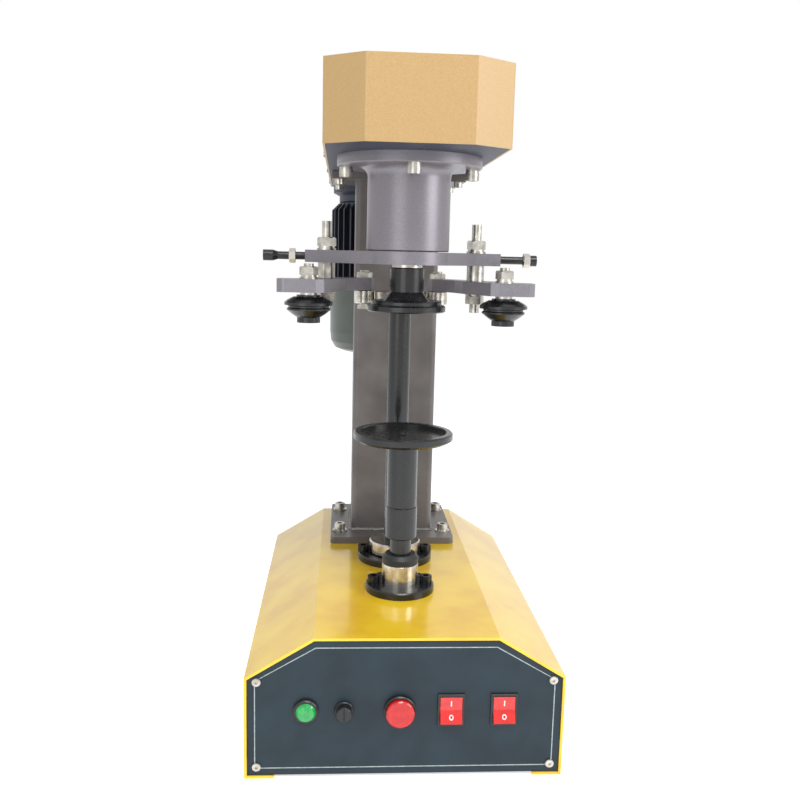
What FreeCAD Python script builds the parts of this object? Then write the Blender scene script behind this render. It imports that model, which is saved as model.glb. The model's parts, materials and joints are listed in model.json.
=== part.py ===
"""Electric can seamer on a bench base, built as an assembly of separate pieces.

Millimetres.  +X is to the right of the control panel, +Y to the back, +Z up.
The model's origin lies on the floor, under the middle of the whole machine.
In the sections below Y is counted from the front edge of the base, and every
piece is shifted back by the same origin_shift when it is placed.
"""
import FreeCAD, Part
import math
import os

import Sketcher

Vector = FreeCAD.Vector
Rotation = FreeCAD.Rotation
doc = FreeCAD.newDocument("can_seamer")

# ---------------------------------------------------------------- dimensions
DIMENSIONS = {
    # base: a folded sheet cover that stands on its own return flanges
    "base_width": 300.0, "base_depth": 424.5, "base_height": 138.5,
    "shoulder_height": 99.7, "base_top_width": 172.5, "base_sheet": 2.5,
    "return_flange": 28.0, "panel_recess": 1.5, "panel_sheet": 2.0,
    "floor_plate": 3.0, "deck_thickness": 8.0,
    # controls in the front panel
    "control_height": 67.0, "lamp_offset": 93.0, "fuse_offset": 57.5,
    "button_offset": 5.5, "lift_switch_offset": 42.5, "die_switch_offset": 92.5,
    "switch_width": 25.5, "switch_length": 31.8, "button_reach": 9.0,
    # lifting table on the front axis
    "front_axis": 125.0, "front_flange_radius": 36.0, "flange_thickness": 7.5,
    "bush_radius": 19.0, "bush_top": 168.0, "seal_top": 178.0,
    "rod_radius": 11.0, "rod_bottom": 104.3, "rod_top": 275.5,
    "collar_radius": 16.3, "collar_bottom": 195.5, "collar_top": 229.5,
    "sleeve_radius": 15.5, "plate_radius": 51.0, "plate_bottom": 298.0,
    "plate_top": 308.0, "recess_radius": 43.5, "recess_depth": 5.0,
    # cam shaft on the rear axis
    "rear_axis": 225.0, "rear_flange_radius": 42.5, "ring_radius": 29.3,
    "ring_top": 160.5, "shaft_radius": 12.5, "cam_bottom": 433.0,
    "cam_thickness": 13.0, "cam_base_radius": 30.0, "cam_rise": 5.8,
    # column
    "column_width": 100.0, "column_depth": 80.0, "column_wall": 5.0,
    "column_front": 305.0, "foot_front": 272.0, "foot_depth": 148.0,
    "foot_width": 150.0, "foot_thickness": 8.0,
    # head
    "head_bottom": 580.0, "head_top": 652.0, "head_width": 166.0,
    "head_length": 566.0, "head_front_width": 94.0, "head_chamfer_depth": 26.0,
    "head_plate": 10.0, "cover_sheet": 2.0,
    # spindle
    "spindle_radius": 15.0, "housing_radius": 41.0, "housing_bottom": 490.0,
    "housing_flange_radius": 71.0, "housing_flange": 10.0,
    "housing_bolt_circle": 62.0, "pulley_bottom": 600.0, "pulley_height": 24.0,
    "spindle_pulley_radius": 60.0, "motor_pulley_radius": 35.0,
    # motor, shaft up, behind the column
    "motor_offset": 8.0, "motor_axis": 475.0, "motor_radius": 72.0,
    "motor_fin_top": 545.0, "motor_fin_bottom": 438.5, "motor_bottom": 354.5,
    # seaming head
    "bracket_bottom": 477.0, "bracket_top": 489.5, "bracket_radius": 41.5,
    "left_bracket_reach": 103.0, "right_bracket_reach": 97.5,
    "left_post_offset": 81.0, "right_post_offset": 74.5, "post_axis": 165.0,
    "post_top": 519.0, "arm_bottom": 448.0, "arm_top": 461.0,
    "roller_offset": 97.5, "roller_axis": 120.0, "roller_radius": 24.0,
    "roller_bottom": 418.0, "left_follower_offset": 40.3,
    "right_follower_offset": 40.0, "follower_axis": 214.0,
    "follower_radius": 11.0, "screw_height": 483.2,
    "left_screw_reach": 146.0, "right_screw_reach": 138.0,
    "left_arm_reach": 128.5, "right_arm_reach": 126.5,
    "chuck_radius": 39.3, "chuck_bottom": 430.5, "chuck_rim": 7.0,
    "holder_radius": 17.0, "holder_bottom": 445.0, "holder_top": 474.0,
}

sheet = doc.addObject("Spreadsheet::Sheet", "dims")
for row, (alias, number) in enumerate(DIMENSIONS.items(), start=1):
    sheet.set(f"A{row}", alias)
    sheet.set(f"B{row}", str(number))
    sheet.setAlias(f"B{row}", alias)
doc.recompute()


class Size:
    """A length with its value and the sheet expression that it comes from."""

    def __init__(self, value, text):
        self.value = float(value)
        self.text = text

    def __add__(self, other):
        other = size(other)
        return Size(self.value + other.value, f"({self.text} + {other.text})")

    def __sub__(self, other):
        other = size(other)
        return Size(self.value - other.value, f"({self.text} - {other.text})")

    def __mul__(self, factor):
        return Size(self.value * factor, f"({self.text} * {factor:.6f})")

    def __truediv__(self, divisor):
        return Size(self.value / divisor, f"({self.text} / {divisor})")

    def __neg__(self):
        return Size(-self.value, f"(0 - {self.text})")

    __radd__ = __add__

    def __rsub__(self, other):
        return size(other) - self


def size(number):
    """Any number as a Size."""
    return number if isinstance(number, Size) else Size(number, f"{number:.4f}")


class Dimensions:
    """The sheet's cells as Sizes, one attribute for each alias."""

    def __getattr__(self, alias):
        return Size(DIMENSIONS[alias], f"dims.{alias}")


dim = Dimensions()
origin_shift = (dim.head_length - dim.button_reach) / 2


def bind(item, path, length):
    """Bind one property of an object to a Size."""
    item.setExpression(path, size(length).text)


def place(item, x=0, y=0, z=0, axis=Vector(0, 0, 1), angle=0):
    """Turn a piece about one axis and set it at x, y from the base front, z."""
    item.Placement = FreeCAD.Placement(Vector(0, 0, 0), Rotation(axis, angle))
    bind(item, "Placement.Base.x", x)
    bind(item, "Placement.Base.y", size(y) - origin_shift)
    bind(item, "Placement.Base.z", z)
    pieces.append(item)
    return item


pieces = []

# ------------------------------------------------------- sketches and features


def new_body(label):
    """An empty PartDesign body that will become one piece."""
    body = doc.addObject("PartDesign::Body", label)
    body.Label = label
    return body


def new_sketch(body, plane, offset=0):
    """A sketch on one of the body's own origin planes, moved along its normal."""
    sketch = body.newObject("Sketcher::SketchObject", body.Name + "_sketch")
    base = next(item for item in body.Origin.OriginFeatures if item.Role == plane)
    sketch.AttachmentSupport = [(base, "")]
    sketch.MapMode = "FlatFace"
    if isinstance(offset, Size) or offset:
        bind(sketch, "AttachmentOffset.Base.z", offset)
    return sketch


def fix_point(sketch, shape, point, u, v):
    """Hold a point of a sketch at u, v from the sketch's origin."""
    for kind, axis, distance in (("DistanceX", -2, size(u)), ("DistanceY", -1, size(v))):
        if abs(distance.value) < 1e-9:
            sketch.addConstraint(Sketcher.Constraint("PointOnObject", shape, point, axis))
            continue
        rule = Sketcher.Constraint(kind, -1, 1, shape, point, distance.value)
        number = sketch.addConstraint(rule)
        if "dims." in distance.text:
            bind(sketch, f"Constraints[{number}]", distance)


def draw_outline(sketch, corners):
    """A closed outline of straight lines through the corners."""
    points = [Vector(size(u).value, size(v).value, 0) for u, v in corners]
    first = sketch.GeometryCount
    for start, end in zip(points, points[1:] + points[:1]):
        sketch.addGeometry(Part.LineSegment(start, end), False)
    last = sketch.GeometryCount - 1
    for line in range(first, last + 1):
        follower = line + 1 if line < last else first
        sketch.addConstraint(Sketcher.Constraint("Coincident", line, 2, follower, 1))
    for line, (u, v) in enumerate(corners, start=first):
        fix_point(sketch, line, 1, u, v)


def draw_circle(sketch, u, v, radius):
    """A circle with its centre and radius held."""
    centre = Vector(size(u).value, size(v).value, 0)
    circle = Part.Circle(centre, Vector(0, 0, 1), size(radius).value)
    shape = sketch.addGeometry(circle, False)
    fix_point(sketch, shape, 3, u, v)
    rule = Sketcher.Constraint("Radius", shape, size(radius).value)
    bind(sketch, f"Constraints[{sketch.addConstraint(rule)}]", radius)


def draw_rectangle(sketch, u, v, width, height):
    """A rectangle about the centre u, v."""
    left, right = size(u) - size(width) / 2, size(u) + size(width) / 2
    low, high = size(v) - size(height) / 2, size(v) + size(height) / 2
    draw_outline(sketch, [(left, low), (right, low), (right, high), (left, high)])


def pad(body, sketch, length, backwards=False):
    """Raise a sketch into a solid."""
    feature = body.newObject("PartDesign::Pad", body.Name + "_pad")
    feature.Profile = sketch
    feature.Reversed = backwards
    bind(feature, "Length", length)
    sketch.Visibility = False
    return feature


def pocket(body, sketch, length=None, backwards=False):
    """Cut a sketch out of the solid, right through where no length is given."""
    doc.recompute()
    before = body.Shape.Volume
    feature = body.newObject("PartDesign::Pocket", body.Name + "_pocket")
    feature.Profile = sketch
    feature.Reversed = backwards
    if length is None:
        feature.Type = "ThroughAll"
    else:
        bind(feature, "Length", length)
    doc.recompute()
    if body.Shape.Volume > before - 0.01:
        raise RuntimeError(f"{feature.Name} cuts nothing")
    return feature


def turned(label, outline):
    """A turned piece: an outline of radius and height revolved about Z."""
    body = new_body(label)
    sketch = new_sketch(body, "XZ_Plane")
    draw_outline(sketch, outline)
    feature = body.newObject("PartDesign::Revolution", label + "_turning")
    feature.Profile = sketch
    feature.ReferenceAxis = (sketch, ["V_Axis"])
    feature.Angle = 360
    return body


def ring(label, outer, inner, low, high, chamfer=0.6):
    """A turned ring with its outer edges broken."""
    outline = [(inner, low), (outer - chamfer, low), (outer, low + chamfer),
               (outer, high - chamfer), (outer - chamfer, high), (inner, high)]
    return turned(label, outline)


def round_edges(body, radius, wanted):
    """Fillet the edges of a body that the test wanted(edge) picks."""
    doc.recompute()
    names = [f"Edge{number}" for number, edge in enumerate(body.Shape.Edges, start=1)
             if wanted(edge)]
    carrier = body.Tip
    feature = body.newObject("PartDesign::Fillet", body.Name + "_fillet")
    feature.Base = (carrier, names)
    feature.Radius = radius
    doc.recompute()
    return feature


def upright(edge):
    """True for a straight edge along Z."""
    return isinstance(edge.Curve, Part.Line) and abs(edge.Curve.Direction.z) > 0.999


# ------------------------------------------------------------------ fasteners


def hexagon(across_flats, height):
    """A hexagonal prism standing on Z = 0."""
    corner_radius = across_flats / math.sqrt(3)
    corners = [Vector(corner_radius * math.cos(math.radians(60 * k)),
                      corner_radius * math.sin(math.radians(60 * k)), 0) for k in range(7)]
    return Part.Face(Part.makePolygon(corners)).extrude(Vector(0, 0, height))


def nut(thread, across_flats, height):
    """A hexagon nut with its corners turned off, bored for the thread."""
    body = hexagon(across_flats, height)
    cone_reach = across_flats / 2 + height
    bevel = Part.makeCone(cone_reach, across_flats / 2 - 0.4, height + 0.4)
    body = body.common(bevel)
    return body.cut(Part.makeCylinder(thread, height))


def socket_screw(thread, head, head_height, length, socket):
    """A cap screw: its head stands on Z = 0, its shank hangs below."""
    body = Part.makeCylinder(head - 0.5, head_height)
    body = body.fuse(Part.makeCylinder(head, head_height - 0.5))
    body = body.fuse(Part.makeCylinder(thread, length, Vector(0, 0, -length)))
    key = hexagon(socket, head_height)
    key.translate(Vector(0, 0, head_height * 0.45))
    return body.cut(key).removeSplitter()


def group(label, solids):
    """Several like pieces in one node, given in base-front coordinates."""
    item = doc.addObject("Part::Feature", label)
    item.Label = label
    item.Shape = Part.makeCompound(solids)
    return place(item)


def moved(shape, x, y, z, axis=Vector(0, 0, 1), angle=0):
    """A copy of a shape, turned about its own origin and then moved."""
    copy = shape.copy()
    copy.Placement = FreeCAD.Placement(Vector(x, y, z), Rotation(axis, angle)) * copy.Placement
    return copy


def centred_about(x, y, spread_x, spread_y):
    """Four points at the corners of a rectangle."""
    return [(x + side * spread_x, y + end * spread_y) for side in (-1, 1) for end in (-1, 1)]


# ----------------------------------------------------------------------- base
# The cover is one sheet, folded along four lines, with a return flange at each
# foot and four ears at the front and four at the back that take the panels.
half_width = dim.base_width / 2
half_top = dim.base_top_width / 2
slope = math.atan2((dim.base_height - dim.shoulder_height).value, (half_width - half_top).value)
wall = dim.base_sheet
lower_mitre = wall * math.tan((math.pi / 2 - slope) / 2)
upper_mitre = wall * math.tan(slope / 2)
inner_side = half_width - wall
inner_shoulder = dim.shoulder_height - lower_mitre
inner_top = half_top - upper_mitre
inner_height = dim.base_height - wall
foot_edge = half_width - dim.return_flange
ear = 18.0
ear_rise = ear * math.tan(slope)

base_shell = new_body("base_shell")
folded = new_sketch(base_shell, "XZ_Plane")
right_outside = [(foot_edge, 0), (half_width, 0), (half_width, dim.shoulder_height),
                 (half_top, dim.base_height)]
right_inside = [(inner_top, inner_height), (inner_side, inner_shoulder),
                (inner_side, wall), (foot_edge, wall)]
left_outside = [(-x, z) for x, z in reversed(right_outside)]
left_inside = [(-x, z) for x, z in reversed(right_inside)]
draw_outline(folded, right_outside + left_outside + left_inside + right_inside)
pad(base_shell, folded, dim.base_depth, backwards=True)
panel_back = dim.panel_recess + dim.panel_sheet
for ear_face in (panel_back, dim.base_depth - panel_back - wall):
    ears = new_sketch(base_shell, "XZ_Plane", -ear_face)
    for side in (-1, 1):
        inner_ear = (inner_side - ear) * side
        draw_outline(ears, [(inner_side * side, inner_shoulder - ear),
                            (inner_side * side, inner_shoulder),
                            (inner_ear, inner_shoulder + ear_rise),
                            (inner_ear, inner_shoulder - ear)])
        draw_outline(ears, [(inner_side * side, wall), (inner_side * side, wall + ear),
                            (inner_ear, wall + ear), (inner_ear, wall)])
    pad(base_shell, ears, wall, backwards=True)

foot_bolt_x = 64.0
foot_bolts = [(x, y) for x in (-foot_bolt_x, foot_bolt_x) for y in (300.0, 392.0)]
front_y, rear_y = dim.front_axis.value, dim.rear_axis.value
flange_bolts = [(-27.5, front_y), (27.5, front_y), (-36.2, rear_y), (36.2, rear_y)]
panel_screw_places = [(x, z) for x in (-138.5, 138.5) for z in (11.5, 96.0)]
cable_hole = 14.0
deck_clearance = new_sketch(base_shell, "XY_Plane")
draw_circle(deck_clearance, 0, dim.front_axis, dim.bush_radius + 0.5)
draw_circle(deck_clearance, 0, dim.rear_axis, dim.shaft_radius + 8)
draw_circle(deck_clearance, 0, dim.column_front + dim.column_depth / 2, cable_hole)
for x, y in foot_bolts + flange_bolts:
    draw_circle(deck_clearance, x, y, 4.5)
pocket(base_shell, deck_clearance, backwards=True)
screw_holes = new_sketch(base_shell, "XZ_Plane")
for x, z in panel_screw_places:
    draw_circle(screw_holes, x, z, 2.05)
pocket(base_shell, screw_holes)
place(base_shell)

# A thick deck plate under the sheet carries the column, bushes and lever.
deck = new_body("deck_plate")
deck_sketch = new_sketch(deck, "XY_Plane", inner_height - dim.deck_thickness)
deck_middle, deck_length = 234.0, 352.0
draw_rectangle(deck_sketch, 0, deck_middle, dim.base_top_width - 16, deck_length)
draw_circle(deck_sketch, 0, dim.front_axis, dim.bush_radius + 0.02)
draw_circle(deck_sketch, 0, dim.rear_axis, dim.shaft_radius + 8)
draw_circle(deck_sketch, 0, dim.column_front + dim.column_depth / 2, cable_hole)
for x, y in foot_bolts + flange_bolts:
    draw_circle(deck_sketch, x, y, 4.1)
pad(deck, deck_sketch, dim.deck_thickness)
lever_pivot = dim.front_axis - 95
lever_height = 94.0
lug_thickness = 6.0
deck_bottom = inner_height - dim.deck_thickness
for lug_side in (14.0, -20.0):
    lug = new_sketch(deck, "YZ_Plane", lug_side)
    draw_outline(lug, [(lever_pivot - 14, lever_height - 10), (lever_pivot + 14, lever_height - 10),
                       (lever_pivot + 28, deck_bottom + 1), (lever_pivot - 14, deck_bottom + 1)])
    draw_circle(lug, lever_pivot, lever_height, 5.05)
    pad(deck, lug, lug_thickness)
tongue = new_sketch(deck, "XY_Plane", deck_bottom)
draw_rectangle(tongue, 0, 43, 60, 50)
pad(deck, tongue, dim.deck_thickness)
place(deck)

floor = new_body("floor_plate")
floor_sketch = new_sketch(floor, "XY_Plane", wall)
draw_rectangle(floor_sketch, 0, dim.base_depth / 2, dim.base_width - 12, dim.base_depth - 14)
pad(floor, floor_sketch, dim.floor_plate)
place(floor)


def panel(label, face):
    """A panel that fits inside the folded cover, its outer face at Y = face."""
    body = new_body(label)
    sketch = new_sketch(body, "XZ_Plane", -face)
    gap = 0.4
    draw_outline(sketch, [(inner_side - gap, wall + gap), (inner_side - gap, inner_shoulder - 0.2),
                          (inner_top - 0.2, inner_height - gap),
                          (-(inner_top - 0.2), inner_height - gap),
                          (-(inner_side - gap), inner_shoulder - 0.2),
                          (-(inner_side - gap), wall + gap)])
    for x, z in panel_screw_places:
        draw_circle(sketch, x, z, 2.1)
    return body, sketch


front_panel, front_sketch = panel("front_panel", dim.panel_recess)
draw_circle(front_sketch, -dim.lamp_offset, dim.control_height, 9)
draw_circle(front_sketch, -dim.fuse_offset, dim.control_height, 6.5)
draw_circle(front_sketch, -dim.button_offset, dim.control_height, 11)
for offset in (dim.lift_switch_offset, dim.die_switch_offset):
    draw_rectangle(front_sketch, offset, dim.control_height, 22.6, 29.0)
pad(front_panel, front_sketch, dim.panel_sheet, backwards=True)
place(front_panel)

# The back panel has a bank of cooling slots and the hole for the cable gland.
gland_x = 105.0
gland_height = 40.0
rear_panel, rear_sketch = panel("rear_panel", dim.base_depth - panel_back)
for slot in range(7):
    draw_rectangle(rear_sketch, -20, 40 + 9 * slot, 110, 4)
draw_circle(rear_sketch, gland_x, gland_height, 8)
pad(rear_panel, rear_sketch, dim.panel_sheet, backwards=True)
place(rear_panel)

panel_screw = socket_screw(2.0, 4.0, 2.2, 5.0, 2.5)
panel_face = dim.panel_recess.value
panel_rear_face = (dim.base_depth - dim.panel_recess).value
panel_screws = []
for x, z in panel_screw_places:
    panel_screws.append(moved(panel_screw, x, panel_face, z, Vector(1, 0, 0), 90))
    panel_screws.append(moved(panel_screw, x, panel_rear_face, z, Vector(1, 0, 0), -90))
group("panel_screws", panel_screws)

# ------------------------------------------------------------------- controls
# Each round control is turned about Z and laid down to point out of the panel.


def facing_front(body, offset):
    """Lay a turned control down so that its Z points out of the front panel."""
    return place(body, offset, dim.panel_recess, dim.control_height, Vector(1, 0, 0), 90)


def bezel(outer, bore, height):
    """A round bezel with a bevelled face."""
    body = Part.makeCylinder(outer, height)
    body = body.makeChamfer(1.1, [edge for edge in body.Edges if edge.BoundBox.ZMin > 1])
    return body.cut(Part.makeCylinder(bore, height))


group("control_bezels", [
    moved(bezel(11.8, 9.2, 4.2), -dim.lamp_offset.value, panel_face,
          dim.control_height.value, Vector(1, 0, 0), 90),
    moved(bezel(15.0, 13.7, 4.6), -dim.button_offset.value, panel_face,
          dim.control_height.value, Vector(1, 0, 0), 90)])
facing_front(turned("lamp_lens", [(0, -16), (8.6, -16), (8.6, 0), (9.1, 0), (9.1, 4.6),
                                  (7.4, 6.8), (4.0, 8.0), (0, 8.4)]), -dim.lamp_offset)
facing_front(turned("fuse_holder", [(5.2, -24), (6.3, -24), (6.3, 0), (9.2, 0), (9.2, 1.6),
                                    (8.4, 2.6), (5.2, 2.6)]), -dim.fuse_offset)
fuse_cap = turned("fuse_cap", [(0, -12), (4.9, -12), (4.9, 3.0), (7.4, 3.0), (7.4, 9.4),
                               (6.6, 10.4), (0, 10.4)])
coin_slot = new_sketch(fuse_cap, "XY_Plane", 11)
draw_rectangle(coin_slot, 0, 0, 1.6, 16)
pocket(fuse_cap, coin_slot, 2.6)
facing_front(fuse_cap, -dim.fuse_offset)
cap_top = dim.button_reach + dim.panel_recess
facing_front(turned("button_cap", [(0, -18), (10.6, -18), (10.6, 4.8), (13.2, 4.8),
                                   (13.2, cap_top - 1.2), (12.2, cap_top - 0.2), (11, cap_top),
                                   (0, cap_top)]), -dim.button_offset)


def switch_frame():
    """The bezel and case of a rocker switch, its face at Z = 0, length along Y."""
    frame_height = 2.2
    body = Part.makeBox(dim.switch_width.value, dim.switch_length.value, frame_height,
                        Vector(-dim.switch_width.value / 2, -dim.switch_length.value / 2, 0))
    rim = [edge for edge in body.Edges if edge.BoundBox.ZMin > frame_height - 0.01]
    body = body.makeFillet(0.8, rim)
    case = Part.makeBox(21.8, 28.4, 18, Vector(-10.9, -14.2, -18))
    well = Part.makeBox(21.0, 27.4, 12, Vector(-10.5, -13.7, -9))
    return body.fuse(case).cut(well)


switch_offsets = (dim.lift_switch_offset, dim.die_switch_offset)
group("switch_frames", [moved(switch_frame(), offset.value, panel_face,
                              dim.control_height.value, Vector(1, 0, 0), 90)
                        for offset in switch_offsets])

rocker_tilt = 10.0
for label, offset in zip(("lift_switch_rocker", "die_switch_rocker"), switch_offsets):
    rocker = new_body(label)
    rocker_sketch = new_sketch(rocker, "YZ_Plane", -10.2)
    draw_outline(rocker_sketch, [(-2.4, 0), (-4.6, 12.5), (3.5, 12.5), (3.5, -12.5),
                                 (-4.6, -12.5)])
    pad(rocker, rocker_sketch, 20.4)
    place(rocker, offset, dim.panel_recess, dim.control_height, Vector(1, 0, 0), -rocker_tilt)

gland = turned("cable_gland", [(4.2, -12), (7.8, -12), (7.8, 0), (12.5, 0), (12.5, 6),
                               (9.5, 7), (9.5, 13), (7, 17), (4.2, 17)])
place(gland, gland_x, dim.base_depth - dim.panel_recess, gland_height, Vector(1, 0, 0), -90)

# ------------------------------------------------------- drive inside the base
# A worm gearmotor turns the cam shaft.  The shaft's lower cam lifts a lever,
# and the lever lifts the table rod.
gearbox_top = 60.0
motor_height = 34.0
box_bottom = wall + dim.floor_plate
gearmotor = new_body("lift_gearmotor")
box_sketch = new_sketch(gearmotor, "XY_Plane", box_bottom)
draw_rectangle(box_sketch, 0, dim.rear_axis, 84, 74)
draw_circle(box_sketch, 0, dim.rear_axis, dim.shaft_radius + 0.05)
pad(gearmotor, box_sketch, gearbox_top - box_bottom)
round_edges(gearmotor, 8, upright)
motor_sketch = new_sketch(gearmotor, "XZ_Plane", -(dim.rear_axis + 36))
draw_circle(motor_sketch, 0, motor_height, 27)
pad(gearmotor, motor_sketch, 118, backwards=True)
place(gearmotor)

lift_low = 84.0
lift_high = 104.5
lift_cam = turned("lift_cam", [(dim.shaft_radius + 0.02, 62), (38, 62), (38, lift_low),
                               (26, lift_low), (26, 72), (dim.shaft_radius + 0.02, 72)])
lobe = new_sketch(lift_cam, "XY_Plane", 72)
lobe_corners = [(radius * math.cos(math.radians(angle)), radius * math.sin(math.radians(angle)))
                for radius, angles in ((37.9, (0, 25, 50, 75, 100)), (26.5, (100, 50, 0)))
                for angle in angles]
draw_outline(lobe, lobe_corners)
pad(lift_cam, lobe, lift_high - 72)
place(lift_cam, 0, dim.rear_axis)

roller_slot = 11.0
lever_roller = 10.0
cam_roller_y = dim.rear_axis - 32
lever_end = dim.rear_axis - 41
bar = Part.makeBox(24, (lever_end - lever_pivot).value + 12, 16,
                   Vector(-12, lever_pivot.value - 12, lever_height - 8))
bar = bar.cut(Part.makeBox(13, 2 * roller_slot + 2, 20,
                           Vector(-6.5, dim.front_axis.value - roller_slot - 1, lever_height - 10)))
bar = bar.cut(Part.makeCylinder(5.02, 30, Vector(-15, lever_pivot.value, lever_height),
                                Vector(1, 0, 0)))
pivot_pin = Part.makeCylinder(5.0, 42, Vector(-21, lever_pivot.value, lever_height),
                              Vector(1, 0, 0))
rod_roller = Part.makeCylinder(lever_roller, 11, Vector(-5.5, dim.front_axis.value, lever_height),
                               Vector(1, 0, 0))
rod_roller_pin = Part.makeCylinder(4, 24, Vector(-12, dim.front_axis.value, lever_height),
                                   Vector(1, 0, 0))
cam_roller = Part.makeCylinder(9.5, 10, Vector(0, cam_roller_y.value - 4, lever_height),
                               Vector(0, 1, 0))
cam_roller_pin = Part.makeCylinder(4, 12, Vector(0, lever_end.value - 4, lever_height),
                                   Vector(0, 1, 0))
lever = bar.fuse([rod_roller, rod_roller_pin, cam_roller, cam_roller_pin, pivot_pin])
group("lift_lever", [lever.removeSplitter()])

# --------------------------------------------------------------- lifting table
fit = 0.05
seat = 0.02
flange_top = dim.base_height + dim.flange_thickness


def flange(radius, bore, axis_y):
    """A turned flange that stands on the base, its upper edge broken."""
    height = dim.flange_thickness.value
    low = dim.base_height.value
    body = Part.makeCylinder(radius.value, height)
    body = body.makeChamfer(1.2, [edge for edge in body.Edges if edge.BoundBox.ZMin > 1])
    body = moved(body.cut(Part.makeCylinder(bore.value, height)), 0, axis_y, low)
    for x, y in flange_bolts:
        body = body.cut(Part.makeCylinder(4.1, height, Vector(x, y, low)))
    return body


group("bush_flanges", [flange(dim.front_flange_radius, dim.bush_radius + seat, front_y),
                       flange(dim.rear_flange_radius, dim.shaft_radius + 8, rear_y)])
bush = ring("front_bush", dim.bush_radius, dim.rod_radius + fit,
            dim.base_height - 16, dim.bush_top)
place(bush, 0, dim.front_axis)
seal = turned("bush_seal", [(dim.rod_radius + fit, dim.bush_top), (dim.bush_radius, dim.bush_top),
                            (dim.bush_radius, dim.seal_top - 4), (15.5, dim.seal_top),
                            (dim.rod_radius + fit, dim.seal_top)])
place(seal, 0, dim.front_axis)

flange_screw = socket_screw(4.0, 6.5, 7.0, 12.0, 6.0)
group("flange_screws", [moved(flange_screw, x, y, flange_top.value) for x, y in flange_bolts])

rod = turned("lift_rod", [(0, dim.rod_bottom), (dim.rod_radius - 1, dim.rod_bottom),
                          (dim.rod_radius, dim.rod_bottom + 1), (dim.rod_radius, dim.rod_top - 1),
                          (dim.rod_radius - 1, dim.rod_top), (0, dim.rod_top)])
place(rod, 0, dim.front_axis)

collar = ring("lift_collar", dim.collar_radius, dim.rod_radius + fit, dim.collar_bottom,
              dim.collar_top, 1.0)
clamp_hole = new_sketch(collar, "YZ_Plane")
draw_circle(clamp_hole, 0, (dim.collar_bottom + dim.collar_top) / 2, 3.2)
pocket(collar, clamp_hole, backwards=True)
place(collar, 0, dim.front_axis)

sleeve = turned("lift_sleeve", [(dim.rod_radius + fit, dim.collar_top),
                                (dim.sleeve_radius, dim.collar_top),
                                (dim.sleeve_radius, dim.plate_bottom),
                                (7, dim.plate_bottom), (7, dim.plate_bottom - 3),
                                (dim.rod_radius + fit, dim.plate_bottom - 3)])
place(sleeve, 0, dim.front_axis)

recess_floor = dim.plate_top - dim.recess_depth
plate = turned("lift_plate", [(4.02, dim.plate_bottom), (dim.plate_radius - 5, dim.plate_bottom),
                              (dim.plate_radius, dim.plate_bottom + 3),
                              (dim.plate_radius, dim.plate_top - 1.5),
                              (dim.plate_radius - 1.5, dim.plate_top),
                              (dim.recess_radius + 1, dim.plate_top),
                              (dim.recess_radius, dim.plate_top - 1),
                              (dim.recess_radius, recess_floor),
                              (8.02, recess_floor), (4.02, recess_floor - 4)])
place(plate, 0, dim.front_axis)
plate_screw = turned("plate_screw", [(0, dim.plate_bottom - 6), (4, dim.plate_bottom - 6),
                                     (4, recess_floor - 4), (8, recess_floor),
                                     (0, recess_floor)])
key_hole = new_sketch(plate_screw, "XY_Plane", recess_floor)
draw_circle(key_hole, 0, 0, 2.8)
pocket(plate_screw, key_hole, 3)
place(plate_screw, 0, dim.front_axis)

# ------------------------------------------------------------------- cam shaft
place(ring("rear_bush", dim.ring_radius, dim.shaft_radius + fit, flange_top, dim.ring_top, 1.5),
      0, dim.rear_axis)
cam_top = dim.cam_bottom + dim.cam_thickness
shaft_bore = dim.shaft_radius
cam_shaft = turned("cam_shaft", [(0, 20), (shaft_bore, 20), (shaft_bore, dim.cam_bottom),
                                 (8, dim.cam_bottom), (8, cam_top + 2), (0, cam_top + 2)])
place(cam_shaft, 0, dim.rear_axis)

# The roller cam has two lobes.  Each rises at a steady rate over the working
# turn, so that both arms swing in step with the shaft.
working_turn = 120.0
contact_angle = math.degrees(math.atan2((dim.follower_axis - dim.rear_axis).value,
                                        dim.right_follower_offset.value))


def cam_radius(angle):
    """The cam's radius at an angle in degrees, counted from +X at rest."""
    rise = dim.cam_rise.value
    right_lobe = (contact_angle, 180 + 2 * contact_angle)
    left_lobe = (180 - contact_angle, 180 - 2 * contact_angle)
    for start, span in (right_lobe, left_lobe):
        back = (start - angle) % 360
        if back <= working_turn:
            return dim.cam_base_radius.value + rise * back / working_turn
        if back <= span:
            share = (back - working_turn) / (span - working_turn)
            return dim.cam_base_radius.value + rise * (1 + math.cos(math.pi * share)) / 2
    return dim.cam_base_radius.value


cam_points = []
for step in range(0, 360, 10):
    turn = math.radians(step)
    cam_points.append(Vector(cam_radius(step) * math.cos(turn),
                             cam_radius(step) * math.sin(turn), 0))
cam_curve = Part.BSplineCurve()
cam_curve.interpolate(cam_points, PeriodicFlag=True)
arm_cam = doc.addObject("Part::Feature", "arm_cam")
arm_cam.Label = "arm_cam"
cam_face = Part.Face(Part.Wire(cam_curve.toShape()))
cam_solid = cam_face.extrude(Vector(0, 0, dim.cam_thickness.value))
arm_cam.Shape = cam_solid.cut(Part.makeCylinder(8 + seat, 40, Vector(0, 0, -5)))
place(arm_cam, 0, dim.rear_axis, dim.cam_bottom)

# ---------------------------------------------------------------------- column
foot_top = dim.base_height + dim.foot_thickness
column_centre = dim.column_front + dim.column_depth / 2
foot = new_body("column_foot")
foot_sketch = new_sketch(foot, "XY_Plane", dim.base_height)
draw_rectangle(foot_sketch, 0, dim.foot_front + dim.foot_depth / 2, dim.foot_width, dim.foot_depth)
draw_circle(foot_sketch, 0, column_centre, cable_hole)
for x, y in foot_bolts:
    draw_circle(foot_sketch, x, y, 4.5)
pad(foot, foot_sketch, dim.foot_thickness)
round_edges(foot, 6, upright)
place(foot)

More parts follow.
